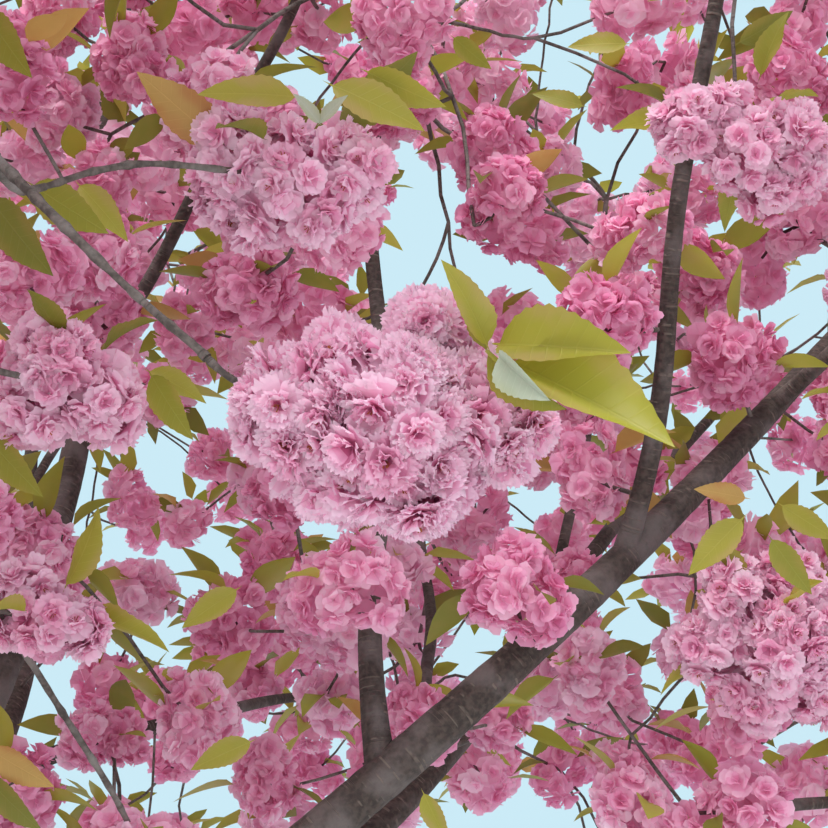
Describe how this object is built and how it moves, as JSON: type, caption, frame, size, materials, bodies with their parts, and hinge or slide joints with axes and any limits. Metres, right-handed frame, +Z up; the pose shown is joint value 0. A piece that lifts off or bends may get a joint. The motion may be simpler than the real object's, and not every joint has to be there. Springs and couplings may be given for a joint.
{
  "type": "cherry blossom tree",
  "caption": "Rooted ornamental cherry tree in full blossom: a short flared trunk forks into rising boughs and side limbs that end in rounded masses of double pink blossom with young leaves.",
  "frame": {"origin": "centre of the flat cut under the trunk, at ground level", "axes": "+Z up along the trunk; +Y is the way one looks in the picture, standing at the crown's edge and looking up into it; +X to the right of that"},
  "size_m": [5.44, 5.0408, 5.0966],
  "materials": {
    "bark": "dark grey-brown bark with rows of pale pores, rough",
    "blossom": "soft double blossom in pinks from near white to rose, with yellow-green and bronze young leaves"
  },
  "bodies": {
    "root": {"blossom_back": "blossom", "blossom_back_1": "blossom", "blossom_back_2": "blossom", "blossom_back_3": "blossom", "blossom_front": "blossom", "blossom_front_1": "blossom", "blossom_front_2": "blossom", "blossom_front_3": "blossom", "blossom_leader": "blossom", "blossom_leader_1": "blossom", "blossom_leader_2": "blossom", "blossom_left": "blossom", "blossom_left_1": "blossom", "blossom_left_2": "blossom", "blossom_left_3": "blossom", "blossom_left_back": "blossom", "blossom_left_back_1": "blossom", "blossom_left_back_2": "blossom", "blossom_left_back_3": "blossom", "blossom_right": "blossom", "blossom_right_1": "blossom", "blossom_right_2": "blossom", "blossom_right_3": "blossom", "blossom_right_4": "blossom", "blossom_right_back": "blossom", "blossom_right_back_1": "blossom", "blossom_right_back_2": "blossom", "blossom_right_back_3": "blossom", "bough_back": "bark", "bough_front": "bark", "bough_leader": "bark", "bough_left": "bark", "bough_left_back": "bark", "bough_right": "bark", "bough_right_back": "bark", "limb_back_1": "bark", "limb_back_2": "bark", "limb_back_3": "bark", "limb_front_1": "bark", "limb_front_2": "bark", "limb_front_3": "bark", "limb_leader_1": "bark", "limb_leader_2": "bark", "limb_left_1": "bark", "limb_left_2": "bark", "limb_left_3": "bark", "limb_left_back_1": "bark", "limb_left_back_2": "bark", "limb_left_back_3": "bark", "limb_right_1": "bark", "limb_right_2": "bark", "limb_right_3": "bark", "limb_right_4": "bark", "limb_right_back_1": "bark", "limb_right_back_2": "bark", "limb_right_back_3": "bark", "trunk": "bark"}
  },
  "joints": []
}
